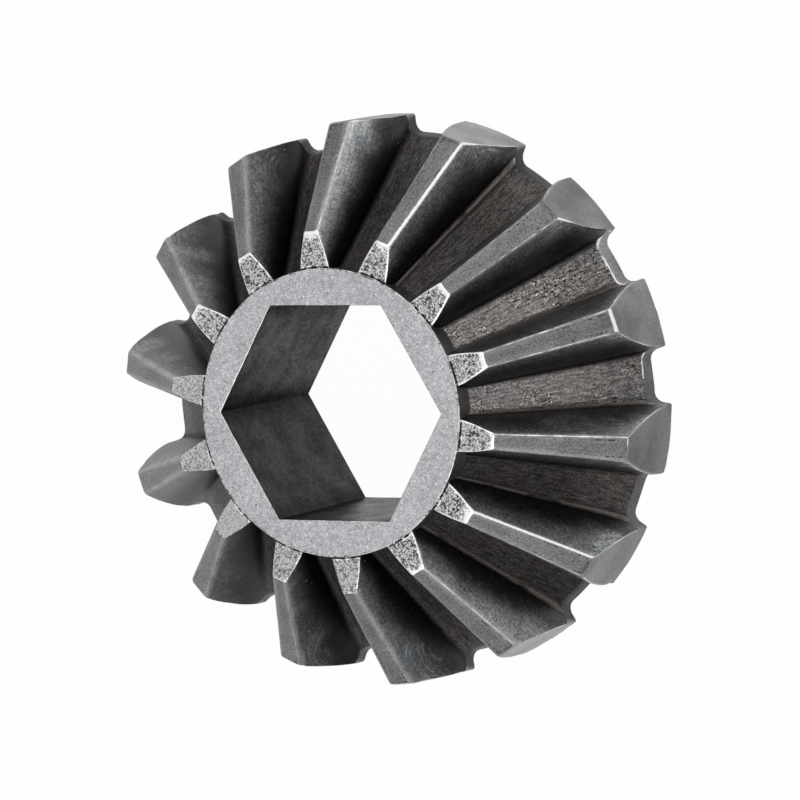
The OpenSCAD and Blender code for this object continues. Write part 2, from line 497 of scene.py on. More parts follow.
# Strength of the bright line along the clockwise and anticlockwise edge of each tip land,
# from the tooth on +X and on anticlockwise: partly wear, partly a painted highlight on the rounded
# edge.
TIP_WEAR_AND_HIGHLIGHT = np.array((
    (0.15, 0.55), (0.3, 1.3), (0.2, 0.8), (0.5, 0.5), (0.45, 0.3), (1.7, 0.3), (0.35, 0.2),
    (0.1, 0.1), (0.15, 0.1), (0.1, 0.1), (0.1, 0.15), (0.1, 0.1), (0.1, 0.1), (0.1, 0.15),
))
# Strength of the painted highlight, a soft pale strip along the same rounded edges
TIP_PAINTED_HIGHLIGHT = np.array((
    (0.2, 0.6), (0.5, 0.3), (0.5, 0.3), (0.35, 0.3), (0.25, 0.2), (0.3, 0.15), (0.85, 0.15),
    (0.6, 0.15), (0.72, 0.15), (0.75, 0.3), (0.6, 0.6), (0.3, 0.45), (0.3, 0.45), (0.2, 0.5),
))
# Width of the bright rim at the tip of each toe end, in millimetres
TOE_RIM = np.array((0.6, 0.65, 0.65, 0.6, 0.65, 0.9, 0.65, 0.6, 0.7, 0.5, 0.3, 0.3, 0.4, 0.6))
# How deeply each toe end is pitted
TOE_PITS = np.array((1.0, 1.0, 0.85, 1.0, 1.0, 0.9, 1.0, 0.8, 0.9, 0.5, 0.5, 0.4, 0.6, 0.6))
# Reach of the wear over the heel corner of each tooth, across the land and at the top of
# the clockwise flank, in millimetres
CORNER_WEAR = np.array((
    (0.06, 0), (0.07, 0), (0.07, 0), (0.32, 0), (0.06, 0.2), (0.08, 0.3), (0.05, 0.1),
    (0.03, 0), (0.03, 0), (0.03, 0), (0.03, 0), (0.03, 0), (0.03, 0), (0.06, 0),
))
# Painted light and shade: how bright the upper and the lower flanks are, clockwise and
# anticlockwise
HIGH_FLANK_PAINTED_LIGHT = np.array((
    (1.0, 1.9), (0.9, 1.4), (2.0, 1.9), (1.6, 1.8), (1.1, 1.4), (1.2, 0.7), (3.2, 0.7),
    (1.0, 0.8), (1.3, 0.9), (1.2, 1.0), (1.1, 0.9), (1.0, 0.5), (1.0, 0.55), (1.0, 1.0),
))
LOW_FLANK_PAINTED_LIGHT = np.array((
    (2.0, 4.0), (2.2, 4.5), (0.8, 4.5), (0.65, 3.0), (1.1, 3.0), (2.2, 1.0), (2.2, 1.0),
    (0.9, 1.0), (1.2, 1.0), (1.5, 1.5), (1.5, 0.5), (1.5, 0.45), (1.0, 0.35), (1.0, 1.2),
))
# Painted light and shade: how bright the heel faces are, the root floors at their toe and heel
# ends, and the band
HEEL_PAINTED_LIGHT = np.array((1.25, 0.75, 0.75, 1.0, 0.98, 1.6, 1.0, 0.8, 0.8, 0.3, 1.75, 1.0, 0.9, 1.0))
FLOOR_PAINTED_LIGHT = np.array((
    (0.28, 0.24), (0.26, 0.5), (1.6, 1.0), (1.8, 1.2), (0.43, 0.68), (0.35, 0.55), (0.3, 0.45),
    (0.35, 0.55), (0.35, 0.55), (0.5, 0.75), (0.5, 0.75), (0.35, 0.55), (0.3, 0.45), (0.3, 0.5),
))
BAND_PAINTED_LIGHT = np.array((0.3, 0.45, 0.55, 1.15, 0.35, 0.18, 0.18, 0.2, 0.3, 0.4, 0.4, 0.3, 0.3, 0.3))
# Reach of the wear along the edge between floor and band, in millimetres
BAND_WEAR = np.array((
    0.02, 0.02, 0.08, 0.14, 0.02, 0.01, 0.01,
    0.01, 0.01, 0.01, 0.01, 0.01, 0.01, 0.01,
))
# Strength of the pale ridge between floor and flank, clockwise and anticlockwise of each tooth
RIDGES = np.array((
    (0, 0.45), (0.7, 0.75), (0, 0.7), (0, 0.9), (0, 0), (1, 0), (0, 0),
    (0, 0), (0, 0), (0, 0), (0, 0), (0, 0), (0, 0), (0, 0),
))


def off_edge(a, b, radius=0.3 * MM):
    """How far a point of the surface is from the middle of the rounded edge of two solids,
    whose signed distances are equal there."""
    return np.abs(a - b) + 4 * np.maximum(0, -np.maximum(a, b) - 0.35 * radius)


def soft_step(value, low, high):
    """0 below low and 1 above high, with a smooth way between them."""
    share = np.clip((value - low) / (high - low), 0, 1)
    return share * share * (3 - 2 * share)


def edge_maps(wear, points, at):
    """Distance of each point from the nearest outer edge, and that distance as a share of the
    reach of the bright wear, which differs with the edge and the side of it; along the tip edges
    that bright line is partly a painted highlight."""
    patches = lattice_noise(points, 1.4 * MM, wear.seed + 5)
    fine = lattice_noise(points, 0.8 * MM, wear.seed + 8)
    # Bright tip edges: wear, partly a painted highlight on the rounded edge
    strength = TIP_WEAR_AND_HIGHLIGHT[at.tooth, at.side]
    weak = np.clip(1.3 - strength, 0, 1)
    tip = wear.wear_and_highlight_width * strength * (1 + 0.8 * weak * patches)
    rim = TOE_RIM[at.tooth] * (1 + 0.35 * patches) * MM
    side_rim = (0.03 + 0.36 * TOE_RIM[at.tooth]) * (1 + 0.6 * patches) * MM
    across, down = np.moveaxis(CORNER_WEAR[at.tooth], -1, 0) * (1 + 0.5 * patches) * MM
    down = down * (1 - at.side) * soft_step(at.tip, -3 * MM, 0)
    band = BAND_WEAR[at.gap] * (1 + 0.9 * fine) * MM
    thin = 0.06 * (1 + 0.8 * patches) * MM
    fade = np.maximum(0, 0.6 + 0.8 * fine)
    faint = 1.1 * weak * fade + 1.2 * np.clip(1 - strength / 0.3, 0, 1)
    dull = 1.2 * (1 - TOE_PITS[at.tooth]) + 0.3 * fade
    in_hub = np.where(at.hub_wall > -0.02 * MM, 0, 1)
    up_flank = 5 * MM * np.clip(at.height - 0.1, 0, 1)
    # The surfaces that meet in an edge, the reach of the wear on each of them, how far the
    # wear has faded, and what keeps the edge away from points that it doesn't pass
    edges = [
        (at.tip, at.space, tip, tip, faint, in_hub),
        (at.tip, at.toe, thin, rim, dull, in_hub),
        (at.space, at.toe, thin, side_rim, dull, in_hub),
        (at.tip, at.heel, across, across, 0, in_hub),
        (at.space, at.heel, 0.5 * thin + down, 0.8 * thin + down, 0, in_hub),
        (at.space, at.band, band, band, 0.6 * fade, in_hub + up_flank),
        (at.heel, at.back, thin, thin, 0, in_hub),
        (at.band, at.back, 0.5 * thin, 0.5 * thin, 0, in_hub),
        (at.hub_wall, at.hub_face, thin, 1.4 * thin, 0.8 * fade, 0),
        (at.bore, at.hub_face, thin, 1.5 * thin, 0.8 * fade, 0),
        (at.bore, at.back, thin, thin, 0.8 * fade, 0),
    ]
    distances, ratios = [], []
    for a, b, on_a, on_b, faded, away in edges:
        distances.append(off_edge(a, b) + away)
        ratios.append(distances[-1] / np.where(a > b, on_a, on_b) + faded)
    return np.minimum.reduce(distances), np.minimum.reduce(ratios)


def painted_highlight_map(at):
    """Strength of the painted highlight, a soft pale strip along the rounded edges of the tip
    lands.
    """
    near_edge = soft_step(off_edge(at.tip, at.space), 0.75 * MM, 0.05 * MM)
    return TIP_PAINTED_HIGHLIGHT[at.tooth, at.side] * near_edge


def painted_light_and_pit_map(stretch, at):
    """Painted light and shade of every point, a factor on its finish by tooth, side and gap.
    A floor fades from its heel end to its toe end and a flank from low to high, and a painted
    shadow darkens the foot of a clockwise flank. On the toe ends it is the depth of their pits."""
    low, high = LOW_FLANK_PAINTED_LIGHT[at.tooth, at.side], HIGH_FLANK_PAINTED_LIGHT[at.tooth, at.side]
    toe_end, heel_end = np.moveaxis(FLOOR_PAINTED_LIGHT[at.gap], -1, 0)
    floor = heel_end + (toe_end - heel_end) * soft_step(-at.heel, 3 * MM, 11 * MM)
    flank = low + (high - low) * soft_step(at.height, 0.35, 0.95)
    line = floor + (flank - floor) * soft_step(at.height, 0.06, 0.18)
    # Painted shadow along the foot of each clockwise flank
    foot = soft_step(at.height, 0, 0.035) * soft_step(at.height, 0.22, 0.1)
    line *= 1 - 0.6 * (at.side == 0) * foot
    heel = np.where(np.abs(at.band) < np.abs(at.heel), BAND_PAINTED_LIGHT[at.gap], HEEL_PAINTED_LIGHT[at.tooth])
    stretch = stretch[:, None]
    toe = np.where(stretch == TOE_END, TOE_PITS[at.tooth], 1.0)
    return np.where(stretch == TOOTH_LINE, line, np.where(stretch == HEEL, heel, toe))


def corner_distance(form, points):
    """Distance of each point from the nearest corner of the hexagonal bore."""
    directions = np.exp(1j * np.radians(range(0, 360, 60)))
    corners = form.bore_apothem / math.cos(math.pi / 6) * directions
    plan = points[0] + 1j * points[1]
    return np.minimum.reduce([np.abs(plan - corner) for corner in corners])


def arc_radii(form, points, at):
    """Distance of each point from the middle of the tool's arcs on its flank, low on the
    flank and a little below the heel."""
    share = form.root_r + 0.2 * (form.tip_r - form.root_r)
    radius = form.outer_r - 5.5 * MM
    half_turn = form.half_tooth(share) * form.turn_per_share
    turn = at.tooth * form.pitch_turn + (2 * at.side - 1) * half_turn
    middle = np.array([
        radius * np.cos(turn), radius * np.sin(turn),
        np.full_like(turn, form.apex_height - radius / form.slope(share)),
    ])
    return np.linalg.norm(points - middle, axis=0)


def face_finishes(form, stretch, share):
    """Number of the finish of every face, by the stretch and the column that it is on."""
    share = (share + np.roll(share, -1)) / 2
    in_hub = form.slope(share) * form.toe_depth < form.hub_r
    on_land = share > form.tip_r - 1e-6
    number = {maker.__name__: i for i, maker in enumerate(FINISH_MAKERS)}
    finish = np.empty((BORE + 1, share.size), int)
    finish[[HUB_FACE, HUB_STEP]] = number["turned_hub_face"]
    finish[TOE_END] = np.where(in_hub, number["hub_wall"], number["ground_toe_end"])
    finish[TOOTH_LINE] = np.where(on_land, number["tip_land"], number["flank_and_floor"])
    finish[HEEL] = number["heel_face"]
    finish[BACK_FACE] = number["back_face"]
    finish[BORE] = number["broached_bore"]
    return finish[stretch]


def closed_mesh(name, points, finishes):
    """A mesh of quads from a grid that closes on itself both ways."""
    rows, columns = points.shape[1:]
    index = np.arange(rows * columns).reshape(rows, columns)
    below, beside = np.roll(index, -1, axis=0), np.roll(index, -1, axis=1)
    corners = np.stack((index, below, np.roll(below, -1, axis=1), beside), axis=-1)
    mesh = bpy.data.meshes.new(name)
    mesh.vertices.add(index.size)
    mesh.vertices.foreach_set("co", points.reshape(3, -1).T.ravel())
    mesh.loops.add(corners.size)
    mesh.loops.foreach_set("vertex_index", corners.ravel())
    mesh.polygons.add(index.size)
    mesh.polygons.foreach_set("loop_start", np.arange(0, corners.size, 4))
    mesh.polygons.foreach_set("material_index", finishes.ravel())
    mesh.update(calc_edges=True)
    mesh.shade_smooth()
    mesh.set_sharp_from_angle(angle=math.radians(40))
    return mesh


def add_values(mesh, name, values):
    """Stores one number a vertex for the materials to read."""
    attribute = mesh.attributes.new(name, "FLOAT", "POINT")
    attribute.data.foreach_set("value", values.ravel().astype(np.float32))


def add_tooth_map(mesh, form, points):
    """A UV map in metres: across the tooth profile, and along the lines to the apex. It
    counts on round the wheel, so that no two teeth have the same marks."""
    radius = np.hypot(points[0], points[1])
    reach = np.hypot(radius, form.apex_height - points[2])
    middle_row = points[:, points.shape[1] // 2]
    steps = np.linalg.norm(np.roll(middle_row, -1, axis=1) - middle_row, axis=0)
    across = np.concatenate(([0], np.cumsum(steps)))
    reach = np.pad(reach, ((0, 1), (0, 1)), mode="wrap")
    across = np.broadcast_to(across, reach.shape)
    grid = np.stack((across, reach), axis=-1)
    corners = np.stack((grid[:-1, :-1], grid[1:, :-1], grid[1:, 1:], grid[:-1, 1:]), axis=2)
    layer = mesh.uv_layers.new(name="along_teeth")
    layer.uv.foreach_set("vector", corners.ravel().astype(np.float32))


# Steel finishes

# Cool cast of some patches of the flanks, and how oiled steel mirrors at a flat angle
COOL_CAST = (0.86, 1.0, 1.12)
OILED = (0.78, 0.805, 0.775)
WORN_ROUGHNESS = 0.32


def add_node(tree, kind, inputs=None, **settings):
    """Adds a node, and links or sets its inputs."""
    node = tree.nodes.new(kind)
    for name, value in settings.items():
        setattr(node, name, value)
    for name, value in (inputs or {}).items():
        if isinstance(value, bpy.types.NodeSocket):
            tree.links.new(value, node.inputs[name])
        else:
            node.inputs[name].default_value = value
    return node


class Steel:
    """A steel material in the making: its colour, roughness and relief, layer by layer."""

    def __init__(self, name, colour, roughness):
        self.material = bpy.data.materials.new(name)
        self.material.use_nodes = True
        self.tree = self.material.node_tree
        self.shader = self.tree.nodes["Principled BSDF"]
        self.shader.inputs["Metallic"].default_value = 1.0
        self.place = self.add("ShaderNodeTexCoord").outputs["Object"]
        self.colour = self.add("ShaderNodeRGB").outputs[0]
        self.colour.default_value = (*colour, 1)
        self.roughness = self.add("ShaderNodeValue").outputs[0]
        self.roughness.default_value = roughness
        self.normal = None

    def add(self, kind, inputs=None, **settings):
        """Adds a node to this material."""
        return add_node(self.tree, kind, inputs, **settings)

    def values(self, name):
        """A number stored on the mesh."""
        return self.add("ShaderNodeAttribute", attribute_name=name).outputs["Fac"]

    def along_teeth(self, across, along):
        """Place on the tooth map, stretched by two scales."""
        place = self.add("ShaderNodeUVMap", uv_map="along_teeth").outputs[0]
        scale = {"Vector": place, "Scale": (across, along, 1)}
        return self.add("ShaderNodeMapping", scale).outputs[0]

    def noise(self, scale, detail=2.0, place=None, seed=0.0, rough=0.5):
        """Noise from about 0.2 to 0.8, with so many patches a metre."""
        inputs = {"Vector": place or self.place, "Scale": scale, "Detail": detail,
                  "Roughness": rough, "W": seed}
        return self.add("ShaderNodeTexNoise", inputs, noise_dimensions="4D").outputs["Fac"]

    def between(self, value, low, high, to_low=0.0, to_high=1.0):
        """A soft step: to_low below low, to_high above high."""
        inputs = {"Value": value, "From Min": low, "From Max": high,
                  "To Min": to_low, "To Max": to_high}
        return self.add("ShaderNodeMapRange", inputs, interpolation_type="SMOOTHSTEP").outputs[0]

    def patches(self, scale, low, high, to_low=0.0, to_high=1.0, **noise):
        """A noise through a soft step."""
        return self.between(self.noise(scale, **noise), low, high, to_low, to_high)

    def strip(self, value, low, high, soft):
        """1 where a value is from low to high, and 0 beyond, with soft ends."""
        rise = self.between(value, low - soft, low)
        return self.times(rise, self.between(value, high + soft, high))

    def combine(self, operation, first, second):
        """Two values through one operation of arithmetic."""
        node = self.add("ShaderNodeMath", {0: first, 1: second}, operation=operation)
        return node.outputs[0]

    def times(self, *values):
        """Product of several values."""
        total = values[0]
        for value in values[1:]:
            total = self.combine("MULTIPLY", total, value)
        return total

    def scaled(self, colour, factor):
        """A colour times a factor."""
        inputs = {0: colour, "Scale": factor}
        return self.add("ShaderNodeVectorMath", inputs, operation="SCALE").outputs[0]

    def blend(self, share, first, second, way="MIX"):
        """Two colours blended, by a share from 0 to 1."""
        first, second = (
            colour if isinstance(colour, bpy.types.NodeSocket) else (*colour, 1)
            for colour in (first, second)
        )
        inputs = {0: share, 6: first, 7: second}
        node = self.add("ShaderNodeMix", inputs, data_type="RGBA", blend_type=way)
        return node.outputs[2]

    def tint(self, colour, *shares, way="MIX"):
        """Blends a colour into the steel's own, by the product of some shares."""
        self.colour = self.blend(self.times(*shares), self.colour, colour, way)

    def scale(self, factor):
        """Multiplies the steel's colour by a factor."""
        self.colour = self.scaled(self.colour, factor)

    def shade(self, value, low, high, spread=0.2):
        """Multiplies the colour by low where a noise is low, and by high where it is high."""
        self.scale(self.between(value, 0.5 - spread, 0.5 + spread, low, high))

    def mottle(self, scale, low, high, spread=0.2, **noise):
        """Shades the colour by a noise, and returns the noise."""
        grain = self.noise(scale, **noise)
        self.shade(grain, low, high, spread)
        return grain

    def polish(self, share, roughness):
        """Moves the roughness towards a value, by a share from 0 to 1."""
        node = self.add("ShaderNodeMix", {0: share, 2: self.roughness, 3: roughness})
        self.roughness = node.outputs[0]

    def relief(self, height, depth):
        """Adds bumps of the given depth."""
        inputs = {"Height": height, "Distance": depth, "Strength": 1.0}
        if self.normal:
            inputs["Normal"] = self.normal
        self.normal = self.add("ShaderNodeBump", inputs).outputs[0]

    def dull_at_edge(self, colour, factor):
        """Dims what the steel mirrors at a flat angle, to a colour times a factor."""
        glance = self.scaled(colour, factor)
        self.tree.links.new(glance, self.shader.inputs["Specular Tint"])

    def painted_highlight(self, finish):
        """A painted highlight: a soft pale strip in the toe ends' colour along the rounded edges of
        the tip lands.
        """
        patches = self.patches(380, 0.3, 0.6, 0.5, 1.0, seed=22)
        grain = self.patches(3600, 0.3, 0.7, 0.6, 1.2, seed=23)
        self.tint(finish.toe, self.values("painted_highlight"), patches, grain)

    def brighten_worn_and_highlit_edges(self, finish, strength=1.0, ragged=0.2):
        """Bright steel along the outer edges, where the dark skin has rubbed off; along the tip
        edges it is partly a painted highlight.
        """
        border = self.patches(3000, 0.3, 0.7, 1 - ragged, 1 + ragged, seed=2)
        ratio = self.combine("DIVIDE", self.values("wear_and_highlight_ratio"), border)
        share = self.times(self.between(ratio, 1.2, 0.6), strength)
        self.tint(finish.worn, share)
        self.polish(share, WORN_ROUGHNESS)

    def close(self):
        """Links the layers to the shader."""
        self.tree.links.new(self.colour, self.shader.inputs["Base Color"])
        self.tree.links.new(self.roughness, self.shader.inputs["Roughness"])
        if self.normal:
            self.tree.links.new(self.normal, self.shader.inputs["Normal"])
        return self.material


def turned_hub_face(finish):
    """Light grey ring, crisply grained, with faint blotches from handling."""
    steel = Steel("turned_hub_face", finish.turned, 0.42)
    grain = steel.mottle(4600, 0.6, 1.4, spread=0.16, detail=3, seed=1, rough=0.85)
    steel.mottle(1500, 0.86, 1.14, seed=4)
    steel.mottle(300, 0.93, 1.07, seed=9)
    steel.tint(finish.worn, steel.patches(2700, 0.6, 0.68, to_high=0.75, seed=24))
    stains = steel.patches(2100, 0.37, 0.30, seed=25)
    steel.scale(steel.between(stains, 0, 1, 1, 0.6))
    rim = steel.between(steel.values("hub_distance"), 0.3 * MM, 0.1 * MM)
    steel.tint(finish.dirt_and_painted_shadow, rim, steel.patches(1500, 0.53, 0.57, to_high=0.8, seed=26))
    steel.relief(grain, 0.02 * MM)
    steel.brighten_worn_and_highlit_edges(finish, strength=0.8)
    return steel.close()


def ground_toe_end(finish):
    """Bright ends of the teeth, peppered with dark pits that leave some patches clean, and
    a broken dark line along the foot of the hub ring, a painted shadow of the hub step and its
    small gap."""
    steel = Steel("ground_toe_end", finish.toe, 0.4)
    depth = steel.values("painted_light_and_pit_depth")
    grain = steel.noise(4200, seed=3, rough=0.75)
    speckle = steel.times(steel.between(grain, 0.36, 0.64, -0.75, 0.8), depth)
    steel.scale(steel.combine("ADD", 1, speckle))
    steel.brighten_worn_and_highlit_edges(finish, strength=steel.between(depth, 0.2, 0.9, 0.5, 1.0), ragged=0.5)
    steel.tint(
        finish.dirt_and_painted_shadow,
        steel.patches(3300, 0.50, 0.43, detail=1.5, seed=7),
        steel.patches(480, 0.3, 0.5, seed=8),
        steel.between(steel.values("wear_and_highlight_ratio"), 0.4, 1.1),
        steel.between(depth, 0.2, 0.8, 0, 0.88),
    )
    seam = steel.values("hub_distance")
    dashes = steel.noise(1700, seed=6)
    bright = steel.strip(seam, 0.32 * MM, 0.42 * MM, 0.06 * MM)
    steel.tint(finish.worn, bright, steel.between(dashes, 0.5, 0.44))
    # Painted shadow of the hub step: a broken dark line along the foot of the hub ring
    foot = steel.between(seam, 0.34 * MM, 0.2 * MM)
    steel.tint(finish.dirt_and_painted_shadow, foot, steel.between(dashes, 0.42, 0.48))
    steel.relief(grain, 0.04 * MM)
    return steel.close()


def hub_wall(finish):
    """Side of the hub ring between the teeth: dark and smooth."""
    steel = Steel("hub_wall", finish.flank, 0.45)
    steel.mottle(500, 0.55, 0.95, detail=3)
    fine = steel.mottle(2500, 0.9, 1.1, seed=3)
    steel.relief(fine, 0.01 * MM)
    steel.brighten_worn_and_highlit_edges(finish)
    return steel.close()


def tip_land(finish):
    """Outer strip of each tooth: grey skin, finely speckled, with faint lines along it and
    a dotted dark line beside its worn edges near the heel."""
    steel = Steel("tip_land", finish.land, 0.42)
    grain = steel.mottle(4200, 0.6, 1.4, spread=0.17, seed=4, rough=0.75)
    steel.mottle(1, 0.9, 1.1, place=steel.along_teeth(3200, 240))
    steel.mottle(180, 0.88, 1.12)
    steel.scale(steel.between(steel.values("hub_distance"), 4.4 * MM, 5.4 * MM, 0.75, 1.0))
    # Painted highlight along the rounded edges of the land
    steel.painted_highlight(finish)
    steel.tint(
        finish.dirt_and_painted_shadow,
        steel.strip(steel.values("edge_distance"), 0.34 * MM, 0.42 * MM, 0.06 * MM),
        steel.patches(2600, 0.54, 0.46, detail=1, seed=9),
        steel.between(steel.values("heel_distance"), 10 * MM, 4 * MM),
        steel.patches(420, 0.36, 0.52, to_high=0.9, seed=16),
    )
    steel.relief(grain, 0.02 * MM)
    steel.brighten_worn_and_highlit_edges(finish)
    return steel.close()


def flank_and_floor(finish):
    """Flanks rubbed grey near the tips and nearly black lower down, partly dark skin and partly
    painted shade, with arcs of the finishing tool near the heel, and scaled, pitted root floors."""
    steel = Steel("tooth_space", finish.gap, 0.42)
    height, painted_light_and_pit_depth = steel.values("tooth_height"), steel.values("painted_light_and_pit_depth")
    arcs = flank_arcs(steel, height)
    grain = rub_flanks(steel, finish, height, painted_light_and_pit_depth, arcs)
    # Painted highlight along the rounded tip edges
    steel.painted_highlight(finish)
    streaks = steel.noise(1, 3, steel.along_teeth(2600, 500), seed=3, rough=0.7)
    border = steel.combine("ADD", height, steel.between(streaks, 0.3, 0.7, -0.03, 0.03))
    floor = steel.between(border, 0.10, 0.02)
    steel.tint(scale_colour(steel, finish, streaks, painted_light_and_pit_depth), floor)
    pale = steel.times(steel.patches(330, 0.36, 0.5, 0.25, seed=18), steel.values("ridge"))
    steel.tint(finish.ridge, pale, steel.strip(height, 0.045, 0.085, 0.03))
    steel.tint(finish.dirt_and_painted_shadow, pale, steel.strip(height, 0.01, 0.025, 0.01), 0.7)
    steel.polish(floor, 0.55)
    steel.relief(steel.times(streaks, floor), 0.1 * MM)
    steel.relief(grain, 0.015 * MM)
    steel.relief(arcs, 0.01 * MM)
    steel.brighten_worn_and_highlit_edges(finish)
    return steel.close()


def flank_arcs(steel, height):
    """Fine concentric arcs on the upper flank near the heel, 1 on the brightest."""
    radius = steel.values("arc_radius")
    ripple = steel.times(radius, 22)
    return steel.times(
        steel.patches(240, 0.42, 0.66, seed=ripple),
        steel.strip(radius, 2.8 * MM, 7.0 * MM, 1.6 * MM),
        steel.patches(200, 0.42, 0.6, seed=21),
        steel.between(height, 0.3, 0.55),
    )


def rub_flanks(steel, finish, height, painted_light_and_pit_depth, arcs):
    """Colours the flanks: darker downwards, partly dark skin and partly painted shade, clouded,
    grained and rubbed in patches, with bright specks, and dark nicks near the heel. Returns the
    grain."""
    # Darker downwards, from the low flank colour up to the flank colour: partly dark skin, partly
    # painted shade
    cloud = steel.patches(170, 0.3, 0.7, -0.14, 0.14, detail=3, seed=6)
    steel.tint(finish.flank, steel.between(steel.combine("ADD", height, cloud), 0.3, 1.02))
    steel.tint(COOL_CAST, steel.patches(140, 0.52, 0.68, to_high=0.5, seed=12), way="MULTIPLY")
    grain = steel.mottle(2700, 0.5, 1.5, spread=0.17, detail=3, seed=8, rough=0.8)
    steel.mottle(1, 0.88, 1.12, place=steel.along_teeth(2600, 420), seed=5)
    rubbed = steel.times(
        steel.patches(800, 0.5, 0.62, detail=3, seed=27, rough=0.7),
        steel.patches(130, 0.42, 0.6, seed=28),
    )
    steel.scale(steel.between(rubbed, 0, 1, 0.96, 1.4))
    steel.scale(steel.between(arcs, 0, 1, 1, 2))
    # Painted light and shade of each tooth side and floor
    steel.scale(painted_light_and_pit_depth)
    # Painted shade also dims what the flanks mirror at a flat angle
    steel.dull_at_edge((1, 1, 1), steel.between(painted_light_and_pit_depth, 0.25, 0.9, 0.65, 1.0))
    steel.tint(finish.worn, steel.patches(1700, 0.76, 0.79, to_high=0.6, detail=1, seed=13))
    near_heel = steel.between(steel.values("heel_distance"), 4 * MM, 1.5 * MM)
    steel.tint(finish.dirt_and_painted_shadow, near_heel, steel.patches(620, 0.66, 0.72, seed=15))
    return grain


def scale_colour(steel, finish, streaks, painted_light_and_pit_depth):
    """Colour of the scale on the root floors, brown in places, with dark pits in streaks
    along the tooth and small bright grains, partly painted glints, scaled by each floor's painted
    light and shade."""
    brown = steel.patches(170, 0.35, 0.62, seed=17)
    colour = steel.blend(brown, finish.floor, finish.rust)
    light = steel.between(streaks, 0.32, 0.68, 0.5, 1.5)
    rough = steel.patches(150, 0.4, 0.6, seed=20)
    rough = steel.times(rough, steel.between(painted_light_and_pit_depth, 0.4, 1.4, 0.3, 1.0))
    grains = steel.patches(4000, 0.36, 0.64, -1, 1, seed=11, rough=0.75)
    grains = steel.times(grains, steel.between(rough, 0, 1, 0.42, 0.62))
    # Small bright grains, partly painted glints
    bright_grains_and_painted_glints = steel.times(steel.patches(3300, 0.6, 0.68, detail=1, seed=19), rough, 1.5)
    pits = steel.noise(1, 1, steel.along_teeth(4000, 1300), seed=14)
    pits = steel.times(steel.between(pits, 0.46, 0.38), rough)
    # The painted light and shade of each floor scales the scale's colour
    factor = steel.times(
        light, steel.combine("ADD", 1, grains), steel.combine("ADD", 1, bright_grains_and_painted_glints),
        steel.between(pits, 0, 1, 1, 0.2), painted_light_and_pit_depth,
    )
    return steel.scaled(colour, factor)


def heel_face(finish):
    """Heel faces and trimmed band: smooth, softly clouded grey, paler along the edges, each
    brightened or darkened by its painted light and shade.
    """
    steel = Steel("heel_face", finish.heel, 0.42)
    steel.mottle(130, 0.64, 1.34, detail=3, seed=2)
    fine = steel.mottle(3000, 0.7, 1.3, detail=3, seed=5, rough=0.8)
    # Painted light and shade of each heel face and band
    steel.scale(steel.values("painted_light_and_pit_depth"))
    steel.tint(
        finish.toe,
        steel.between(steel.values("edge_distance"), 0.45 * MM, 0.2 * MM),
        steel.between(steel.values("tooth_height"), 0.1, 0.3),
        steel.patches(350, 0.35, 0.6, 0.1, 0.4, seed=3),
    )
    steel.relief(fine, 0.01 * MM)
    steel.brighten_worn_and_highlit_edges(finish, strength=0.9)
    return steel.close()


def back_face(finish):
    """Machined underside, with faint rings round the bore."""
    steel = Steel("back_face", finish.back, 0.4)
    inputs = {"Vector": steel.place, "Scale": 480.0, "Distortion": 0.6, "Detail": 2.0}
    wave = steel.add("ShaderNodeTexWave", inputs, wave_type="RINGS", rings_direction="Z")
    rings = wave.outputs["Fac"]
    steel.shade(rings, 0.9, 1.1, spread=0.5)
    steel.mottle(260, 0.82, 1.18, detail=3)
    steel.mottle(4200, 0.8, 1.2, spread=0.17, seed=2, rough=0.75)
    steel.relief(rings, 0.008 * MM)
    steel.brighten_worn_and_highlit_edges(finish, strength=0.8)
    return steel.close()


def broached_bore(finish):
    """Dark oiled wall of the bore, its reflection dimmed towards the hexagon's corners as painted
    shade, with faint marks of the broach along it.
    """
    steel = Steel("broached_bore", finish.bore, 0.36)
    # Painted shade: what the wall mirrors is dimmed towards the corners of the hexagon
    glance = steel.times(
        steel.patches(260, 0.35, 0.65, 0.8, 1.1, detail=3, seed=4),
        steel.patches(2200, 0.35, 0.65, 0.75, 1.2, detail=3, seed=1, rough=0.8),
        steel.between(steel.values("bore_corner"), 0.2 * MM, 3 * MM, 0.66, 1.0),
    )
    steel.dull_at_edge(OILED, glance)
    along = steel.add("ShaderNodeMapping", {"Vector": steel.place, "Scale": (1500, 1500, 70)})
    marks = steel.mottle(1, 0.93, 1.07, detail=3, place=along.outputs[0])
    steel.relief(marks, 0.01 * MM)
    steel.brighten_worn_and_highlit_edges(finish, strength=0.8)
    return steel.close()


FINISH_MAKERS = (
    turned_hub_face, ground_toe_end, hub_wall, tip_land,
    flank_and_floor, heel_face, back_face, broached_bore,
)


# Operators and panel


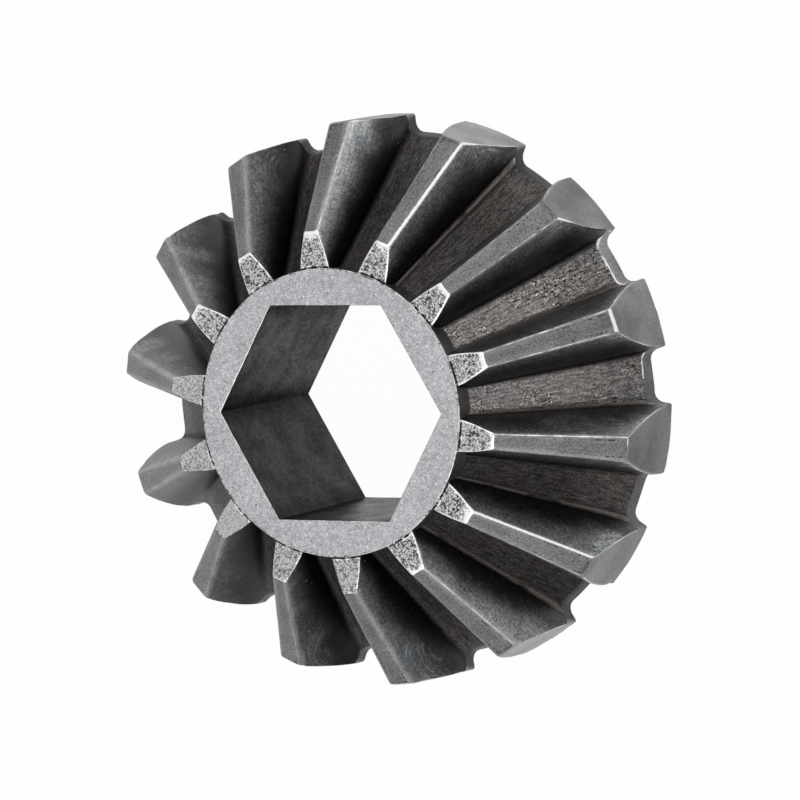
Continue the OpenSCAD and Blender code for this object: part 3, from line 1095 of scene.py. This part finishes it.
class GEAR_OT_wheel(Operator):
    """Add the forged wheel in place of its plain solid"""

    bl_idname = "gear_wheel.add_wheel"
    bl_label = "Add Gear Wheel"

    def execute(self, context):
        scene = context.scene
        form, wear = wheel_form(scene.wheel_shape), scene.wheel_wear
        points, stretch, share = wheel_grid(form)
        radii = edge_radii(form, wear, points)
        points = settle(form, radii, points)
        at = survey(form, points)
        mesh = closed_mesh(
            "gear_wheel_forging",
            forge(form, wear, radii, points, at),
            face_finishes(form, stretch, share),
        )
        edge_distance, wear_and_highlight_ratio = edge_maps(wear, points, at)
        maps = {
            "edge_distance": edge_distance,
            "wear_and_highlight_ratio": wear_and_highlight_ratio,
            "tooth_height": at.height,
            "heel_distance": -at.heel,
            "hub_distance": np.abs(at.hub_wall),
            "painted_highlight": painted_highlight_map(at),
            "ridge": RIDGES[at.tooth, at.side],
            "arc_radius": arc_radii(form, points, at),
            "bore_corner": corner_distance(form, points),
            "painted_light_and_pit_depth": painted_light_and_pit_map(stretch, at),
        }
        for name, values in maps.items():
            add_values(mesh, name, values)
        add_tooth_map(mesh, form, points)
        for maker in FINISH_MAKERS:
            mesh.materials.append(maker(scene.wheel_finish))
        wheel = bpy.data.objects.new("gear_wheel_forging", mesh)
        scene.collection.objects.link(wheel)
        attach(wheel, "root")
        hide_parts("gear_wheel")
        return {"FINISHED"}


def add_camera(studio):
    """Camera on a line of sight given by azimuth and elevation, rolled about that line."""
    flat = math.cos(studio.elevation)
    back = Vector((
        flat * math.cos(studio.azimuth), flat * math.sin(studio.azimuth), math.sin(studio.elevation)
    ))
    right = Vector((0, 0, 1)).cross(back).normalized()
    up = back.cross(right)
    turn = Matrix((right, up, back)).transposed() @ Matrix.Rotation(studio.roll, 3, "Z")
    data = bpy.data.cameras.new("studio_camera")
    data.lens = studio.lens
    camera = bpy.data.objects.new("studio_camera", data)
    place = Vector(studio.aim) + back * studio.distance
    camera.matrix_world = Matrix.Translation(place) @ turn.to_4x4()
    return camera


def add_lamp(name, place, aim, size, power):
    """A square area lamp that faces the wheel."""
    data = bpy.data.lights.new(name, "AREA")
    data.size = size
    data.energy = power
    lamp = bpy.data.objects.new(name, data)
    lamp.location = place
    lamp.rotation_euler = (Vector(place) - Vector(aim)).to_track_quat("Z", "Y").to_euler()
    return lamp


def seen_or_mirrored(tree):
    """1 for rays from the camera and for mirrored and refracted ones, else 0."""
    path = add_node(tree, "ShaderNodeLightPath").outputs
    total = path["Is Camera Ray"]
    for name in ("Is Glossy Ray", "Is Transmission Ray"):
        most = add_node(tree, "ShaderNodeMath", {0: total, 1: path[name]}, operation="MAXIMUM")
        total = most.outputs[0]
    return total


def floor_material(paper_white=0.9, glow_share=0.97):
    """White floor: it shows and mirrors as white, and keeps a faint shadow of the wheel."""
    material = bpy.data.materials.new("white_floor")
    material.use_nodes = True
    tree = material.node_tree
    tree.nodes.clear()
    paper = add_node(tree, "ShaderNodeBsdfDiffuse", {"Color": (*[paper_white] * 3, 1)})
    glow = add_node(tree, "ShaderNodeEmission")
    inputs = {0: seen_or_mirrored(tree), 1: glow_share}
    share = add_node(tree, "ShaderNodeMath", inputs, operation="MULTIPLY")
    inputs = {0: share.outputs[0], 1: paper.outputs[0], 2: glow.outputs[0]}
    mix = add_node(tree, "ShaderNodeMixShader", inputs)
    add_node(tree, "ShaderNodeOutputMaterial", {"Surface": mix.outputs[0]})
    return material


def add_floor(reach=4.0):
    """A wide flat floor under the wheel."""
    mesh = bpy.data.meshes.new("studio_floor")
    corners = [(-reach, -reach, 0), (reach, -reach, 0), (reach, reach, 0), (-reach, reach, 0)]
    mesh.from_pydata(corners, [], [(0, 1, 2, 3)])
    mesh.materials.append(floor_material())
    return bpy.data.objects.new("studio_floor", mesh)


def light_world(scene, sky):
    """White where it is seen or mirrored, and soft light from all round elsewhere."""
    world = bpy.data.worlds.new("studio_world")
    world.use_nodes = True
    tree = world.node_tree
    inputs = {"Value": seen_or_mirrored(tree), "To Min": sky}
    strength = add_node(tree, "ShaderNodeMapRange", inputs).outputs[0]
    background = tree.nodes["Background"]
    background.inputs["Color"].default_value = (1, 1, 1, 1)
    tree.links.new(strength, background.inputs["Strength"])
    scene.world = world


class GEAR_OT_studio(Operator):
    """Add the floor, the lamps, the world and the camera"""

    bl_idname = "gear_wheel.add_studio"
    bl_label = "Add Studio"

    def execute(self, context):
        scene, studio = context.scene, context.scene.studio_setup
        floor = add_floor()
        camera = add_camera(studio)
        aim = tuple(studio.aim)
        lamps = [
            add_lamp("key_lamp", (0.35, 0.05, 0.6), aim, size=0.35, power=studio.key),
            add_lamp("fill_lamp", (-0.35, 0.35, 0.45), aim, size=0.5, power=studio.fill),
        ]
        for item in (floor, camera, *lamps):
            scene.collection.objects.link(item)
        scene.camera = camera
        scene.view_settings.view_transform = "Standard"
        light_world(scene, studio.sky)
        return {"FINISHED"}


class GEAR_PT_panel(Panel):
    """Sizes, wear, colours and studio of the gear wheel"""

    bl_idname = "GEAR_PT_panel"
    bl_label = "Gear Wheel"
    bl_space_type = "VIEW_3D"
    bl_region_type = "UI"
    bl_category = "Gear Wheel"

    def draw(self, context):
        for name in SETTINGS:
            box = self.layout.box()
            settings = getattr(context.scene, name)
            for key in settings.__annotations__:
                box.prop(settings, key)
        self.layout.operator(GEAR_OT_wheel.bl_idname)
        self.layout.operator(GEAR_OT_studio.bl_idname)


SETTINGS = {
    "wheel_shape": WheelShape,
    "wheel_wear": WheelWear,
    "wheel_finish": WheelFinish,
    "studio_setup": StudioSetup,
}
CLASSES = (*SETTINGS.values(), GEAR_OT_wheel, GEAR_OT_studio, GEAR_PT_panel)


def register():
    for item in CLASSES:
        bpy.utils.register_class(item)
    for name, settings in SETTINGS.items():
        setattr(bpy.types.Scene, name, PointerProperty(type=settings))


def unregister():
    for name in SETTINGS:
        delattr(bpy.types.Scene, name)
    for item in reversed(CLASSES):
        bpy.utils.unregister_class(item)


def main():
    register()
    bpy.ops.gear_wheel.add_wheel()
    bpy.ops.gear_wheel.add_studio()


if __name__ == "__main__":
    main()
